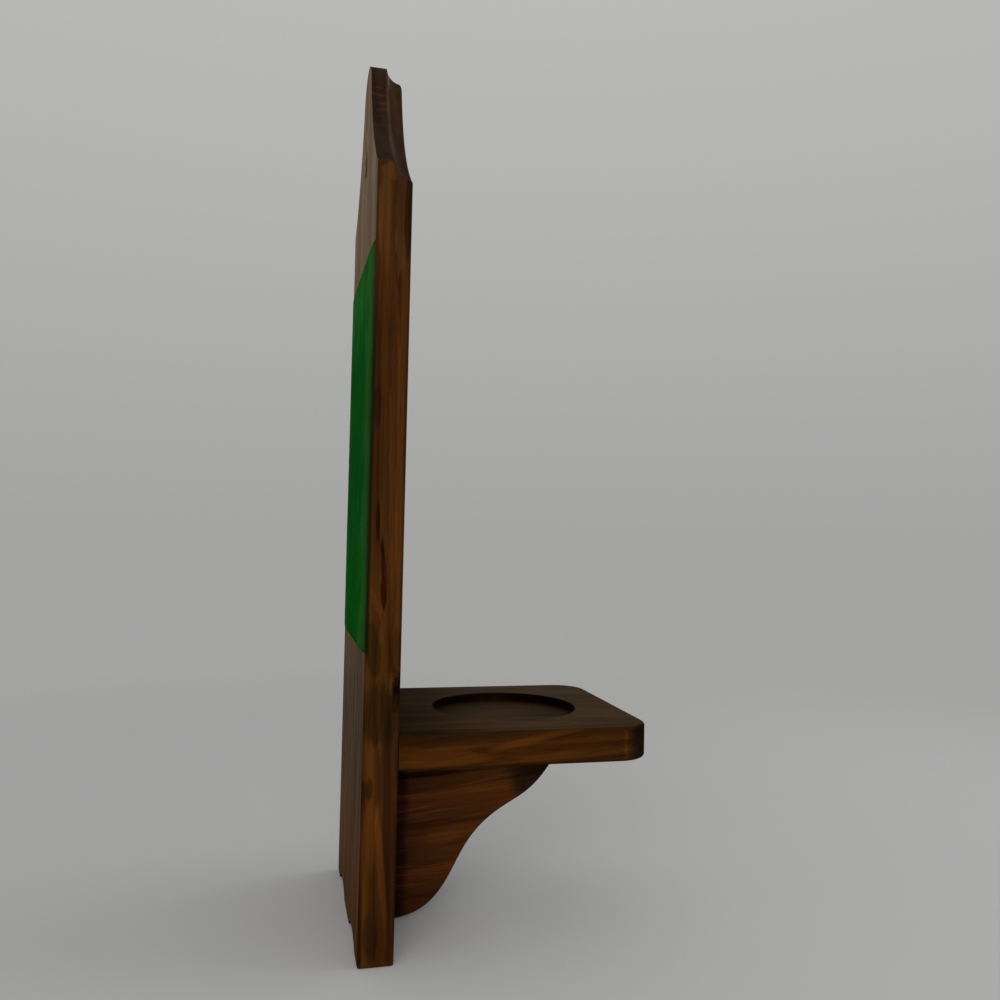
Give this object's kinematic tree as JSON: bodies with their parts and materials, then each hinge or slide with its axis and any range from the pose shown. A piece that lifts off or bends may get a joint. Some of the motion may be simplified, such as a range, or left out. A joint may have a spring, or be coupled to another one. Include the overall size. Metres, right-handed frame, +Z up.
{
  "type": "wall sconce shelf",
  "caption": "Wooden wall sconce: a tall moulded backboard carries a small candle shelf with a round well, braced by a scrolled corbel, with felt behind.",
  "frame": {"origin": "centre of the keyhole plate's entry hole, on the backboard's back face", "axes": "+Z up the wall, +X across the board, +Y into the wall, so the shelf reaches towards -Y"},
  "size_m": [0.14, 0.1644, 0.5039],
  "materials": {
    "backboard_wood": "brown stain, satin varnish, grain upright",
    "shelf_wood": "brown stain, satin varnish, grain front to back",
    "corbel_wood": "brown stain, satin varnish, grain front to back",
    "green_felt": "pressed felt",
    "hanger_metal": "dulled brass plating",
    "screw_metal": "dulled brass plating",
    "dowel_wood": "bare wood"
  },
  "bodies": {
    "root": {"backboard": "backboard_wood", "shelf": "shelf_wood", "corbel": "corbel_wood", "felt_pad": "green_felt", "keyhole_plate": "hanger_metal", "keyhole_screws": "screw_metal", "shelf_dowels": "dowel_wood", "corbel_back_dowels": "dowel_wood", "corbel_top_dowels": "dowel_wood"}
  },
  "joints": []
}
